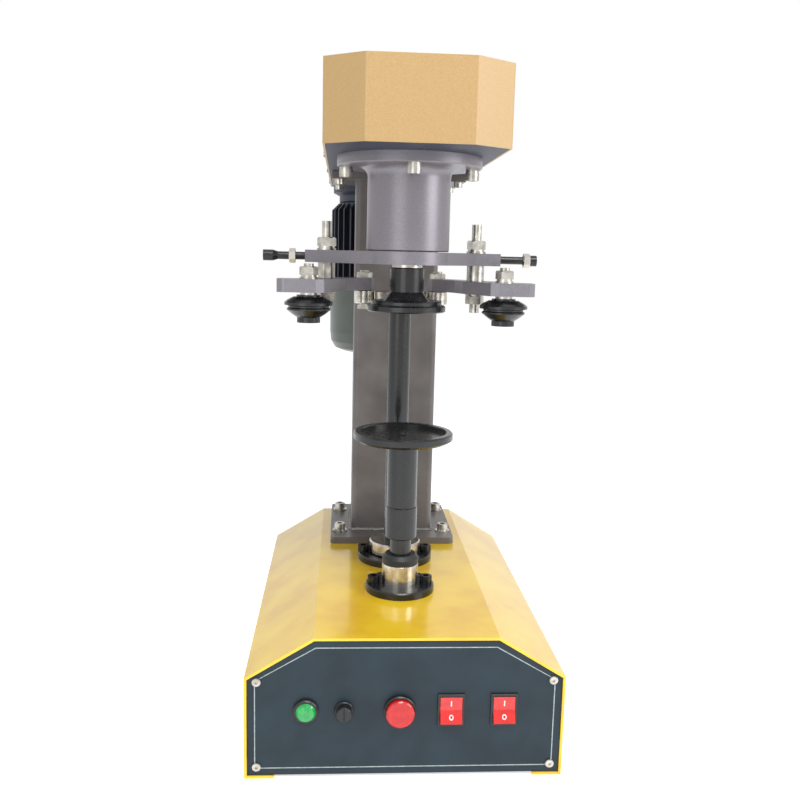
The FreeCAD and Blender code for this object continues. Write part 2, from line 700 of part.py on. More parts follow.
column_top = dim.head_bottom - 8
cap_width, cap_depth = 156.0, 110.0
cap_bolts = centred_about(0, column_centre.value, 70, 45)
column = new_body("column")
tube_sketch = new_sketch(column, "XY_Plane", foot_top)
draw_rectangle(tube_sketch, 0, column_centre, dim.column_width, dim.column_depth)
pad(column, tube_sketch, column_top - foot_top)
round_edges(column, 6, upright)
bore_sketch = new_sketch(column, "XY_Plane", foot_top)
draw_rectangle(bore_sketch, 0, column_centre, dim.column_width - dim.column_wall * 2,
               dim.column_depth - dim.column_wall * 2)
pocket(column, bore_sketch, backwards=True)
cap_sketch = new_sketch(column, "XY_Plane", column_top)
draw_rectangle(cap_sketch, 0, column_centre, cap_width, cap_depth)
for x, y in cap_bolts:
    draw_circle(cap_sketch, x, y, 3.1)
pad(column, cap_sketch, dim.head_bottom - column_top)
place(column)

foot_washer = Part.makeCylinder(9, 1.6).cut(Part.makeCylinder(4.2, 1.6))
foot_screw = socket_screw(4.0, 6.5, 8.0, 24.0, 6.0)
foot_set = []
for x, y in foot_bolts:
    foot_set.append(moved(foot_washer, x, y, foot_top.value))
    foot_set.append(moved(foot_screw, x, y, foot_top.value + 1.6))
group("column_bolts", foot_set)

# ------------------------------------------------------------------------ head


def head_outline(inset):
    """The long octagon of the head, drawn in by inset from the outside."""
    side = dim.head_width / 2 - inset
    nose = dim.head_front_width / 2 - inset * 0.4
    chamfer = dim.head_chamfer_depth + inset * 0.3
    rear = dim.head_length - inset
    return [(nose, inset), (side, chamfer), (side, dim.head_length - chamfer), (nose, rear),
            (-nose, rear), (-side, dim.head_length - chamfer), (-side, chamfer), (-nose, inset)]


head_plate = new_body("head_plate")
plate_sketch = new_sketch(head_plate, "XY_Plane", dim.head_bottom)
draw_outline(plate_sketch, head_outline(dim.cover_sheet + 0.3))
draw_circle(plate_sketch, 0, dim.front_axis, 33)
draw_circle(plate_sketch, -dim.motor_offset, dim.motor_axis, 45)
bolt_circle = dim.housing_bolt_circle
housing_bolts = [(0, dim.front_axis - bolt_circle), (0, dim.front_axis + bolt_circle),
                 (-bolt_circle, dim.front_axis), (bolt_circle, dim.front_axis)]
for x, y in housing_bolts:
    draw_circle(plate_sketch, x, y, 4.05)
for x, y in cap_bolts:
    draw_circle(plate_sketch, x, y, 3.05)
pad(head_plate, plate_sketch, dim.head_plate)
cover_bolt_places = (150.0, 323.0, 496.0)
cover_bolt_height = dim.head_bottom + 5
for side in (-1, 1):
    edge_holes = new_sketch(head_plate, "YZ_Plane", dim.head_width / 2 * side)
    for y in cover_bolt_places:
        draw_circle(edge_holes, y, cover_bolt_height, 2.55)
    pocket(head_plate, edge_holes, 12, backwards=side < 0)
place(head_plate)

head_cover = new_body("head_cover")
cover_sketch = new_sketch(head_cover, "XY_Plane", dim.head_bottom)
draw_outline(cover_sketch, head_outline(size(0)))
pad(head_cover, cover_sketch, dim.head_top - dim.head_bottom)
round_edges(head_cover, 2.5, upright)
hollow = new_sketch(head_cover, "XY_Plane", dim.head_bottom)
draw_outline(hollow, head_outline(dim.cover_sheet))
pocket(head_cover, hollow, dim.head_top - dim.head_bottom - dim.cover_sheet, backwards=True)
side_holes = new_sketch(head_cover, "YZ_Plane", dim.head_width / 2)
for y in cover_bolt_places:
    draw_circle(side_holes, y, cover_bolt_height, 2.6)
pocket(head_cover, side_holes)
place(head_cover)

flange_bottom = dim.head_bottom - dim.housing_flange
housing = turned("spindle_housing",
                 [(17, dim.housing_bottom), (dim.housing_radius - 1, dim.housing_bottom),
                  (dim.housing_radius, dim.housing_bottom + 1),
                  (dim.housing_radius, flange_bottom),
                  (dim.housing_flange_radius - 1, flange_bottom),
                  (dim.housing_flange_radius, flange_bottom + 1),
                  (dim.housing_flange_radius, dim.head_bottom), (31, dim.head_bottom),
                  (31, dim.housing_bottom + 6), (17, dim.housing_bottom + 6)])


def root_of_flange(edge):
    """True for the inner corner where the housing's barrel meets its flange."""
    box = edge.BoundBox
    level = abs(box.ZMin - flange_bottom.value) < 0.01 and box.ZLength < 0.01
    return level and abs(box.XMax - dim.housing_radius.value) < 0.01


round_edges(housing, 9, root_of_flange)
flange_holes = new_sketch(housing, "XY_Plane", dim.head_bottom)
for side in (-1, 1):
    for end in (-1, 1):
        draw_circle(flange_holes, bolt_circle * (side * math.sqrt(0.5)),
                    bolt_circle * (end * math.sqrt(0.5)), 4.1)
pocket(housing, flange_holes, dim.housing_flange + 1)
place(housing, 0, dim.front_axis, 0, Vector(0, 0, 1), 45)

spring_gap = 2.2
housing_screw = socket_screw(4.0, 6.8, 8.0, 17.0 + spring_gap, 6.0)
spring_ring = Part.makeCylinder(6.4, spring_gap).cut(Part.makeCylinder(4.0, spring_gap))
head_screws = []
for x, y in housing_bolts:
    spot = (size(x).value, size(y).value, flange_bottom.value - spring_gap)
    head_screws.append(moved(housing_screw, *spot, Vector(1, 0, 0), 180))
    head_screws.append(moved(spring_ring, *spot))
column_screw = socket_screw(3.0, 5.0, 6.0, 15.0, 5.0)
for x, y in cap_bolts:
    head_screws.append(moved(column_screw, x, y, column_top.value, Vector(1, 0, 0), 180))
cover_screw = socket_screw(2.5, 4.2, 1.8, 8.0, 2.5)
for side in (-1, 1):
    for y in cover_bolt_places:
        head_screws.append(moved(cover_screw, side * dim.head_width.value / 2, y,
                                 cover_bolt_height.value, Vector(0, 1, 0), 90 * side))
group("head_bolts", head_screws)

bearing_width = 16.0
bearing_heights = (dim.housing_bottom.value + 6, dim.head_bottom.value - 18)
race = Part.makeCylinder(31 - seat, bearing_width).cut(
    Part.makeCylinder(dim.spindle_radius.value + fit, bearing_width))
race = race.cut(Part.makeCylinder(26, 1.2).cut(Part.makeCylinder(20, 1.2)))
group("spindle_bearings", [moved(race, 0, front_y, height) for height in bearing_heights])

holder_bore = 10.0
shaft = turned("spindle_shaft",
               [(0, dim.holder_bottom - 6), (holder_bore, dim.holder_bottom - 6),
                (holder_bore, dim.holder_top), (dim.spindle_radius, dim.holder_top),
                (dim.spindle_radius, dim.pulley_bottom + dim.pulley_height + 6),
                (0, dim.pulley_bottom + dim.pulley_height + 6)])
place(shaft, 0, dim.front_axis)


def pulley(label, radius, bore):
    """A two-groove vee pulley."""
    low = dim.pulley_bottom
    high = low + dim.pulley_height
    outline = [(bore, low), (radius, low)]
    for groove in (0, 1):
        start = low + 1.5 + 11.0 * groove
        outline += [(radius, start), (radius - 8, start + 3), (radius - 8, start + 7),
                    (radius, start + 10)]
    outline += [(radius, high), (bore, high)]
    return turned(label, outline)


place(pulley("spindle_pulley", dim.spindle_pulley_radius, dim.spindle_radius + seat),
      0, dim.front_axis)
motor_shaft_radius = 9.5
place(pulley("motor_pulley", dim.motor_pulley_radius, motor_shaft_radius + seat),
      -dim.motor_offset, dim.motor_axis)

# Two vee belts run in the grooves of both pulleys.
centre_line = Vector(-dim.motor_offset.value, (dim.motor_axis - dim.front_axis).value, 0)


def belt_face(spindle_radius, motor_radius):
    """The face inside an open belt of the given radii about the two shafts."""
    distance = centre_line.Length
    heading = math.atan2(centre_line.y, centre_line.x)
    lean = math.acos((spindle_radius - motor_radius) / distance)
    tangents = []
    for side in (1, -1):
        direction = Vector(math.cos(heading + side * lean), math.sin(heading + side * lean), 0)
        tangents.append((direction * spindle_radius, centre_line + direction * motor_radius))
    ahead = Vector(math.cos(heading), math.sin(heading), 0)
    (left_spindle, left_motor), (right_spindle, right_motor) = tangents
    far_motor = centre_line + ahead * motor_radius
    far_spindle = ahead * -spindle_radius
    edges = [Part.LineSegment(left_spindle, left_motor).toShape(),
             Part.Arc(left_motor, far_motor, right_motor).toShape(),
             Part.LineSegment(right_motor, right_spindle).toShape(),
             Part.Arc(right_spindle, far_spindle, left_spindle).toShape()]
    return Part.Face(Part.Wire(edges))


belts = []
belt_gap = 0.6
for groove in (0, 1):
    inside = [dim.spindle_pulley_radius.value - 8 + belt_gap,
              dim.motor_pulley_radius.value - 8 + belt_gap]
    outside = [radius + 6.5 for radius in inside]
    loop = belt_face(*outside).cut(belt_face(*inside)).extrude(Vector(0, 0, 3.2))
    belts.append(moved(loop, 0, front_y, dim.pulley_bottom.value + 4.9 + 11.0 * groove))
group("drive_belts", belts)

# ----------------------------------------------------------------------- motor
motor = new_body("motor_body")
core = new_sketch(motor, "XY_Plane", dim.motor_fin_bottom)
draw_circle(core, 0, 0, dim.motor_radius - 9)
pad(motor, core, dim.motor_fin_top + 8 - dim.motor_fin_bottom)
fin = new_sketch(motor, "XZ_Plane", -1.1)
draw_outline(fin, [(dim.motor_radius - 12, dim.motor_fin_bottom),
                   (dim.motor_radius, dim.motor_fin_bottom),
                   (dim.motor_radius, dim.motor_fin_top - 1),
                   (dim.motor_radius - 9, dim.motor_fin_top + 8),
                   (dim.motor_radius - 12, dim.motor_fin_top + 8)])
fin_pad = pad(motor, fin, 2.2)
fins = motor.newObject("PartDesign::PolarPattern", "motor_body_fins")
fins.Originals = [fin_pad]
fins.Axis = (fin, ["V_Axis"])
fins.Angle = 360
fins.Occurrences = 36
motor.Tip = fins
terminal_box = new_sketch(motor, "XZ_Plane", -(dim.motor_radius - 12))
draw_rectangle(terminal_box, 0, 492, 66, 84)
box_reach = dim.head_length - dim.motor_axis
pad(motor, terminal_box, box_reach - dim.motor_radius + 12, backwards=True)
place(motor, -dim.motor_offset, dim.motor_axis)

shield_top = dim.head_bottom
shield = turned("motor_flange",
                [(9.55, dim.motor_fin_top + 8), (60, dim.motor_fin_top + 8),
                 (62, dim.motor_fin_top + 10), (62, dim.motor_fin_top + 18),
                 (70, dim.motor_fin_top + 22), (70, shield_top), (14, shield_top),
                 (14, dim.motor_fin_top + 20), (9.55, dim.motor_fin_top + 20)])
place(shield, -dim.motor_offset, dim.motor_axis)
rotor = turned("motor_shaft", [(0, dim.motor_fin_top + 10),
                               (motor_shaft_radius, dim.motor_fin_top + 10),
                               (motor_shaft_radius, dim.pulley_bottom + dim.pulley_height + 3),
                               (0, dim.pulley_bottom + dim.pulley_height + 3)])
place(rotor, -dim.motor_offset, dim.motor_axis)

fan_cover = turned("motor_fan_cover",
                   [(0, dim.motor_bottom), (dim.motor_radius - 16, dim.motor_bottom),
                    (dim.motor_radius - 6, dim.motor_bottom + 4),
                    (dim.motor_radius - 0.5, dim.motor_bottom + 13),
                    (dim.motor_radius + 1, dim.motor_bottom + 26),
                    (dim.motor_radius + 1, dim.motor_fin_bottom),
                    (dim.motor_radius - 1, dim.motor_fin_bottom),
                    (dim.motor_radius - 1, dim.motor_bottom + 26),
                    (dim.motor_radius - 8, dim.motor_bottom + 7),
                    (dim.motor_radius - 18, dim.motor_bottom + 2.5),
                    (0, dim.motor_bottom + 2.5)])
for bolt_ring, holes in ((18.0, 8), (32.0, 14), (46.0, 20)):
    vents = new_sketch(fan_cover, "XY_Plane", dim.motor_bottom)
    for k in range(holes):
        turn = 2 * math.pi * k / holes
        draw_circle(vents, bolt_ring * math.cos(turn), bolt_ring * math.sin(turn), 3.6)
    pocket(fan_cover, vents, 4, backwards=True)
place(fan_cover, -dim.motor_offset, dim.motor_axis)

# ---------------------------------------------------------------- seaming head
# The fixed bracket hangs under the spindle housing.  Its arms lie behind the
# chuck and are slotted for the pivot posts.
slot_half_width = 5.35
slot_inward, slot_outward = 14.5, 16.0
bar_half = 18.0
end_cut = 14.0
sides = (("left", -1), ("right", 1))


def of_side(name, what):
    """The dimension of one side, such as the left post's offset."""
    return getattr(dim, f"{name}_{what}")


left_end, right_end = -dim.left_bracket_reach, dim.right_bracket_reach
bracket = new_body("arm_bracket")
disc = new_sketch(bracket, "XY_Plane", dim.bracket_bottom)
draw_circle(disc, 0, dim.front_axis, dim.bracket_radius)
pad(bracket, disc, dim.bracket_top - dim.bracket_bottom)
arms = new_sketch(bracket, "XY_Plane", dim.bracket_bottom)
draw_outline(arms, [(left_end, dim.post_axis - 8), (left_end + end_cut, dim.post_axis - bar_half),
                    (-30, dim.front_axis - 26), (30, dim.front_axis - 26),
                    (right_end - 26, dim.post_axis - bar_half), (right_end, dim.post_axis - bar_half),
                    (right_end, dim.post_axis + bar_half),
                    (left_end + end_cut, dim.post_axis + bar_half), (left_end, dim.post_axis + 8)])
pad(bracket, arms, dim.bracket_top - dim.bracket_bottom)
openings = new_sketch(bracket, "XY_Plane", dim.bracket_bottom)
draw_circle(openings, 0, dim.front_axis, dim.spindle_radius + 1)
for name, side in sides:
    slot_middle = (of_side(name, "post_offset") + (slot_outward - slot_inward) / 2) * side
    draw_rectangle(openings, slot_middle, dim.post_axis, slot_inward + slot_outward,
                   2 * slot_half_width)
pocket(bracket, openings, backwards=True)
outside, hole_depth = 110.0, 30.0
for name, side in sides:
    screw_hole = new_sketch(bracket, "YZ_Plane", outside * side)
    draw_circle(screw_hole, dim.post_axis, dim.screw_height, 4 + fit)
    pocket(bracket, screw_hole, hole_depth, backwards=side < 0)
place(bracket)

post_y = dim.post_axis.value
journal = 7.0
stud = 5.0
washer = Part.makeCylinder(10.0, 1.8).cut(Part.makeCylinder(stud, 1.8))
spring_washer = Part.makeCylinder(8.6, 2.2).cut(Part.makeCylinder(stud, 2.2))
arm_gap = 0.1


def pivot_post():
    """A shouldered stud with its clamp nuts, on its own axis."""
    arm_low = dim.arm_bottom.value
    arm_high = dim.arm_top.value
    bracket_low = dim.bracket_bottom.value
    bracket_high = dim.bracket_top.value
    tall = dim.post_top.value
    post = Part.makeCylinder(stud, tall - 428, Vector(0, 0, 428))
    post = post.fuse(Part.makeCylinder(journal, arm_high - arm_low, Vector(0, 0, arm_low)))
    sleeve_height = bracket_low - arm_high - 2 * arm_gap
    post = post.fuse(Part.makeCylinder(9.0, sleeve_height, Vector(0, 0, arm_high + arm_gap)))
    post = post.cut(Part.makeCylinder(stud + 2, 1).cut(Part.makeCylinder(stud - 0.8, 1)))
    clamp = [moved(washer, 0, 0, bracket_high + arm_gap),
             moved(spring_washer, 0, 0, bracket_high + arm_gap + 1.8),
             moved(nut(stud, 17.0, 9.0), 0, 0, bracket_high + arm_gap + 4.0),
             moved(washer, 0, 0, arm_low - arm_gap - 1.8),
             moved(nut(stud, 17.0, 9.0), 0, 0, arm_low - arm_gap - 10.8)]
    return [post.removeSplitter()] + clamp


def arm_outline(name, side):
    """The roller arm seen from above: an outer lug, the pivot and a swept tail."""
    outer = of_side(name, "arm_reach")
    pivot = of_side(name, "post_offset")
    lug_y = dim.roller_axis
    points = [(outer, lug_y - 11), (outer, lug_y + 11), (outer - 6, lug_y + 16),
              (112, lug_y + 17), (pivot + 18.5, dim.post_axis + 8),
              (pivot + 11.5, dim.post_axis + 18),
              (54, dim.follower_axis + 9), (45, dim.follower_axis + 13),
              (34, dim.follower_axis + 12), (29, dim.follower_axis + 2),
              (33, dim.follower_axis - 10), (pivot - 20.5, dim.post_axis + 8),
              (pivot - 14.5, dim.post_axis - 12),
              (82, lug_y - 12), (90, lug_y - 16), (outer - 6, lug_y - 16)]
    return [(size(x) * side, y) for x, y in points]


def at_arm_end(edge):
    """True for an upright edge at the front of the left arm's outer lug."""
    box = edge.BoundBox
    return upright(edge) and box.XMax < -dim.left_arm_reach.value + 7 and box.YMax < 115


axle = 6.0
axle_washer = Part.makeCylinder(9.0, 1.8).cut(Part.makeCylinder(stud, 1.8))
axle_spring = Part.makeCylinder(7.8, 2.0).cut(Part.makeCylinder(stud, 2.0))
lock_nut_starts = {"left": 113.0, "right": 124.5}
roller_z = dim.roller_bottom.value
for name, side in sides:
    post_x = side * of_side(name, "post_offset").value
    roller_x = side * dim.roller_offset.value
    follower_x = side * of_side(name, "follower_offset").value
    roller_y = dim.roller_axis.value
    follower_y = dim.follower_axis.value
    group(f"{name}_pivot_post", [moved(piece, post_x, post_y, 0) for piece in pivot_post()])

    arm = new_body(f"{name}_roller_arm")
    arm_sketch = new_sketch(arm, "XY_Plane", dim.arm_bottom)
    draw_outline(arm_sketch, arm_outline(name, side))
    draw_circle(arm_sketch, of_side(name, "post_offset") * side, dim.post_axis, journal + fit)
    draw_circle(arm_sketch, dim.roller_offset * side, dim.roller_axis, axle + seat)
    draw_circle(arm_sketch, of_side(name, "follower_offset") * side, dim.follower_axis, 5 + seat)
    pad(arm, arm_sketch, dim.arm_top - dim.arm_bottom)
    if side < 0:
        round_edges(arm, 5, at_arm_end)
    place(arm)

    arm_low = dim.arm_bottom.value
    arm_high = dim.arm_top.value
    axle_bolt = Part.makeCylinder(axle, arm_high - roller_z - 1, Vector(0, 0, roller_z + 1))
    axle_bolt = axle_bolt.fuse(Part.makeCylinder(8.5, 2.6, Vector(0, 0, arm_low - 2.6)))
    axle_bolt = axle_bolt.fuse(Part.makeCylinder(stud, 15, Vector(0, 0, arm_high)))
    axle_nuts = [moved(axle_washer, 0, 0, arm_high), moved(axle_spring, 0, 0, arm_high + 1.8),
                 moved(nut(stud, 16.0, 8.4), 0, 0, arm_high + 3.8)]
    bolts = [moved(piece, roller_x, roller_y, 0) for piece in [axle_bolt] + axle_nuts]
    follower_stud = Part.makeCylinder(5, arm_high + 8 - 428, Vector(0, 0, 428))
    follower_stud = follower_stud.fuse(moved(hexagon(13.0, 4.5), 0, 0, 427))
    follower_nut = nut(5, 15.0, 6.0)
    bolts.append(moved(follower_stud, follower_x, follower_y, 0))
    bolts.append(moved(follower_nut, follower_x, follower_y, arm_high))
    group(f"{name}_arm_bolts", bolts)

    bore = axle + fit
    wheel = turned(f"{name}_seaming_roller",
                   [(bore, roller_z), (11.5, roller_z), (11.5, roller_z + 5),
                    (dim.roller_radius - 8, roller_z + 8), (dim.roller_radius - 2.5, roller_z + 12.5),
                    (dim.roller_radius - 2.5, roller_z + 14), (dim.roller_radius - 4, roller_z + 15),
                    (dim.roller_radius - 4, roller_z + 16.5), (dim.roller_radius, roller_z + 17.5),
                    (dim.roller_radius, roller_z + 20), (dim.roller_radius - 3, roller_z + 22.5),
                    (dim.roller_radius - 9, roller_z + 25.5), (12, roller_z + 25.5),
                    (12, roller_z + 27.2), (bore, roller_z + 27.2)])
    place(wheel, roller_x, dim.roller_axis)
    follower = ring(f"{name}_cam_follower", dim.follower_radius, 5 + fit,
                    dim.cam_bottom, dim.arm_bottom - 0.4, 1.0)
    place(follower, follower_x, dim.follower_axis)

    reach = of_side(name, "screw_reach").value
    head = 10.0
    start = of_side(name, "post_offset").value + stud + 0.4
    screw = Part.makeCylinder(4, reach - head - start, Vector(0, 0, start))
    screw = screw.fuse(Part.makeCone(4, 5.6, 5, Vector(0, 0, reach - head - 5)))
    screw = screw.fuse(Part.makeCylinder(5.6, head, Vector(0, 0, reach - head)))
    lock_nut = moved(nut(4, 13.0, 6.5), 0, 0, lock_nut_starts[name])
    turned_out = [moved(piece, 0, post_y, dim.screw_height.value, Vector(0, 1, 0), 90 * side)
                  for piece in (screw, lock_nut)]
    group(f"{name}_adjusting_screw", turned_out)

step_top = dim.chuck_bottom + dim.chuck_rim + 4
chuck = turned("seaming_chuck",
               [(0, dim.chuck_bottom + 1.5), (dim.chuck_radius - 9, dim.chuck_bottom + 1.5),
                (dim.chuck_radius - 7, dim.chuck_bottom), (dim.chuck_radius - 1, dim.chuck_bottom),
                (dim.chuck_radius, dim.chuck_bottom + 1),
                (dim.chuck_radius, dim.chuck_bottom + dim.chuck_rim - 1.5),
                (dim.chuck_radius - 2, dim.chuck_bottom + dim.chuck_rim),
                (dim.chuck_radius - 4, dim.chuck_bottom + dim.chuck_rim),
                (dim.chuck_radius - 4, step_top - 1), (dim.chuck_radius - 5, step_top),
                (dim.holder_radius + 7, step_top), (dim.holder_radius + 6, step_top + 1),
                (dim.holder_radius, dim.holder_bottom + 5),
                (dim.holder_radius, dim.holder_top - 1),
                (dim.holder_radius - 1, dim.holder_top), (holder_bore + seat, dim.holder_top),
                (holder_bore + seat, dim.holder_bottom - 6), (0, dim.holder_bottom - 6)])
grub_height, grub_depth, chuck_turn = 458.0, 20.0, 35.0
grub = new_sketch(chuck, "XZ_Plane")
draw_circle(grub, 0, grub_height, 3.4)
pocket(chuck, grub, grub_depth)
place(chuck, 0, dim.front_axis, 0, Vector(0, 0, 1), chuck_turn)

# --------------------------------------------------------------- write the files
doc.recompute()
for item in doc.Objects:
    if "Invalid" in item.State or "Error" in item.State:
        raise RuntimeError(f"{item.Name}: {item.State} {item.getStatusString()}")
for piece in pieces:
    if piece.Shape.isNull() or not piece.Shape.isValid():
        raise RuntimeError(f"{piece.Label} has a broken shape")
os.makedirs("parts", exist_ok=True)
for piece in pieces:
    piece.Shape.exportStep(os.path.join("parts", piece.Label + ".step"))
print(len(pieces), "pieces written")
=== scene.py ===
"""Looks of an electric bench can seamer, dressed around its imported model."""
import json
import math

import bpy
from mathutils import Matrix, Vector


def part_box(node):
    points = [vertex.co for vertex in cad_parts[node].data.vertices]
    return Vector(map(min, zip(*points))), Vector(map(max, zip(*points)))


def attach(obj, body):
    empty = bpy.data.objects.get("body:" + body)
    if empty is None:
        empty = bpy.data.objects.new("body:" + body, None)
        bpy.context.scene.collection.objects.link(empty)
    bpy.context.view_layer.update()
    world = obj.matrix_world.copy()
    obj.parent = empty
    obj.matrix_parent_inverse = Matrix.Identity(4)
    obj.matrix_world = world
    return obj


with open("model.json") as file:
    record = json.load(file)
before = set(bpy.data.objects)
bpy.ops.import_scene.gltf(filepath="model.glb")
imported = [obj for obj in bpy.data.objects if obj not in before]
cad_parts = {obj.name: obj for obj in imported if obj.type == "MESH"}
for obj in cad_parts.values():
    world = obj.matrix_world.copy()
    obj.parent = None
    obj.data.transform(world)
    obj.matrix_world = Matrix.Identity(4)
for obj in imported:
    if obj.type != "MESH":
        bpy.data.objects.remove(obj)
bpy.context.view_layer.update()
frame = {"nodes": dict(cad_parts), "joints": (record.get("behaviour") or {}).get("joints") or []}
MM = 0.001

# ------------------------------------------------------------ camera and studio
# The camera stands a little left of the machine, below the height of its head,
# in a white studio lit from above the front, from the right and a little from the left.
lens_mm = 40.28
camera_data = bpy.data.cameras.new("shop_camera")
camera_data.lens = lens_mm
camera_data.sensor_width = 36.0
camera = bpy.data.objects.new("shop_camera", camera_data)
turn_right, look_down, lean = math.radians(3.75), math.radians(9.24), math.radians(1.35)
base_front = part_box("base_shell")[0].y
stand = Vector((-0.0631, base_front - 0.7752, 0.4869))
camera.matrix_world = (Matrix.Translation(stand) @ Matrix.Rotation(-turn_right, 4, "Z")
                       @ Matrix.Rotation(math.pi / 2 - look_down, 4, "X")
                       @ Matrix.Rotation(lean, 4, "Z"))
bpy.context.scene.collection.objects.link(camera)
bpy.context.scene.camera = camera
bpy.context.scene.view_settings.view_transform = "Standard"


def add(tree, kind, values=None, links=None):
    """One node with its settings, its input values and the sockets that feed it."""
    node = tree.nodes.new(kind)
    for key, value in (values or {}).items():
        if isinstance(key, str) and key not in node.inputs:
            setattr(node, key, value)
        else:
            node.inputs[key].default_value = value
    for key, source in (links or {}).items():
        tree.links.new(source, node.inputs[key])
    return node


def linear(hex_colour, alpha=1.0):
    """An sRGB hex colour as the linear values that shaders take."""
    channels = [int(hex_colour[i:i + 2], 16) / 255 for i in (1, 3, 5)]
    return [c / 12.92 if c <= 0.04045 else ((c + 0.055) / 1.055) ** 2.4
            for c in channels] + [alpha]


world = bpy.data.worlds.new("white_studio")
world.use_nodes = True
bpy.context.scene.world = world
sky = world.node_tree
sky.nodes.clear()
rays = add(sky, "ShaderNodeLightPath")
seen = add(sky, "ShaderNodeMath", {"operation": "MAXIMUM"},
           {0: rays.outputs["Is Camera Ray"], 1: rays.outputs["Is Transmission Ray"]})
fill_light = add(sky, "ShaderNodeBackground", {"Color": linear("#EEF1F6"), "Strength": 0.55})
white = add(sky, "ShaderNodeBackground", {"Color": (1, 1, 1, 1), "Strength": 1.0})
sky_mix = add(sky, "ShaderNodeMixShader", {}, {0: seen.outputs[0],
              1: fill_light.outputs[0], 2: white.outputs[0]})
glossy_mix = add(sky, "ShaderNodeMixShader", {}, {0: rays.outputs["Is Glossy Ray"],
                 1: sky_mix.outputs[0], 2: white.outputs[0]})
add(sky, "ShaderNodeOutputWorld", {}, {0: glossy_mix.outputs[0]})


def lamp(name, place, target, width, power):
    """A square soft box that faces its target."""
    data = bpy.data.lights.new(name, "AREA")
    data.size = width
    data.energy = power
    lamp_object = bpy.data.objects.new(name, data)
    away = Vector(place) - Vector(target)
    lamp_object.matrix_world = (Matrix.Translation(place)
                                @ away.to_track_quat("Z", "Y").to_matrix().to_4x4())
    bpy.context.scene.collection.objects.link(lamp_object)


lamp("window_right", (1.5, -0.9, 0.9), (0, 0, 0.35), 0.9, 13)
lamp("ceiling", (0.2, -1.3, 2.0), (0, 0, 0.2), 0.9, 30)
lamp("front_fill", (-0.9, -1.7, 0.7), (0, 0, 0.3), 1.0, 5)

floor_data = bpy.data.meshes.new("studio_floor")
reach, sink = 6.0, -0.0002
floor_data.from_pydata([(-reach, -reach, sink), (reach, -reach, sink),
                        (reach, reach, sink), (-reach, reach, sink)], [], [(0, 1, 2, 3)])
studio_floor = bpy.data.objects.new("studio_floor", floor_data)
bpy.context.scene.collection.objects.link(studio_floor)
floor_paper = bpy.data.materials.new("matt_white_paper")
floor_paper.use_nodes = True
paper_shader = floor_paper.node_tree.nodes["Principled BSDF"]
paper_shader.inputs["Base Color"].default_value = linear("#FAFAFA")
paper_shader.inputs["Roughness"].default_value = 1.0
paper_shader.inputs["Specular IOR Level"].default_value = 0.0
paper_shader.inputs["Emission Color"].default_value = linear("#FFFFFF")
paper_shader.inputs["Emission Strength"].default_value = 0.6
floor_data.materials.append(floor_paper)

# ------------------------------------------------------------------- base cover
# The base is one folded steel sheet, sprayed with gloss yellow enamel.  The
# enamel has a faint orange peel and a colour that varies a little at random.


def new_paint(name):
    """An empty node material: its tree, its Principled shader and object coordinates."""
    material = bpy.data.materials.new(name)
    material.use_nodes = True
    tree = material.node_tree
    coordinates = add(tree, "ShaderNodeTexCoord")
    return material, tree, tree.nodes["Principled BSDF"], coordinates.outputs["Object"]


def mottle(tree, place, grain_mm, detail=3.0):
    """Noise with a grain of the given size."""
    return add(tree, "ShaderNodeTexNoise", {"Scale": 1 / (grain_mm * MM), "Detail": detail},
               {"Vector": place}).outputs["Fac"]


def shade_between(tree, factor, colours, stops=(0.35, 0.65)):
    """A colour ramp from the first colour to the last over the given stops."""
    ramp = add(tree, "ShaderNodeValToRGB", {}, {"Fac": factor})
    while len(ramp.color_ramp.elements) < len(colours):
        ramp.color_ramp.elements.new(0.5)
    for k, (element, colour) in enumerate(zip(ramp.color_ramp.elements, colours)):
        share = k / (len(colours) - 1)
        element.position = stops[0] + (stops[1] - stops[0]) * share
        element.color = linear(colour)
    return ramp.outputs["Color"]


def spread(tree, factor, low, high):
    """A factor from 0 to 1 spread between two values."""
    return add(tree, "ShaderNodeMapRange", {"To Min": low, "To Max": high},
               {"Value": factor}).outputs["Result"]


def relief(tree, shader, height, depth_mm, strength=1.0):
    """Surface relief of a given depth on a shader's normal."""
    bump = add(tree, "ShaderNodeBump", {"Distance": depth_mm * MM, "Strength": strength},
               {"Height": height})
    tree.links.new(bump.outputs["Normal"], shader.inputs["Normal"])


def dress(material, *nodes):
    """Give CAD nodes a material."""
    for node in nodes:
        for slot in frame["nodes"][node].material_slots:
            slot.material = material


def enamel(name, colours, peel_mm=2.2, rough=(0.16, 0.26), coat=0.5):
    """Sprayed gloss enamel on steel, slightly uneven in colour and gloss."""
    material, tree, shader, place = new_paint(name)
    cloud = mottle(tree, place, 60)
    tree.links.new(shade_between(tree, cloud, colours), shader.inputs["Base Color"])
    tree.links.new(spread(tree, mottle(tree, place, 18), *rough), shader.inputs["Roughness"])
    shader.inputs["Coat Weight"].default_value = coat
    shader.inputs["Coat Roughness"].default_value = 0.08
    relief(tree, shader, mottle(tree, place, peel_mm, 1.0), 0.02)
    return material


yellow = enamel("gloss_yellow_enamel", ("#DDAE0C", "#E6BC14", "#EBC41C"))
dress(yellow, "base_shell", "rear_panel")

# ------------------------------------------------------------------ front panel
# An aluminium sheet under a printed dark film.  A thin pale line runs round it,
# set in from the edge, as a silk-screened border does.
panel_low, panel_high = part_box("front_panel")
film, film_tree, film_shader, film_place = new_paint("dark_panel_film")
film_tree.links.new(shade_between(film_tree, mottle(film_tree, film_place, 40),
                                  ("#13222B", "#1A2C36")), film_shader.inputs["Base Color"])
film_shader.inputs["Roughness"].default_value = 0.42
film_shader.inputs["Specular IOR Level"].default_value = 0.35
relief(film_tree, film_shader, mottle(film_tree, film_place, 0.35, 1.0), 0.015)
dress(film, "front_panel")


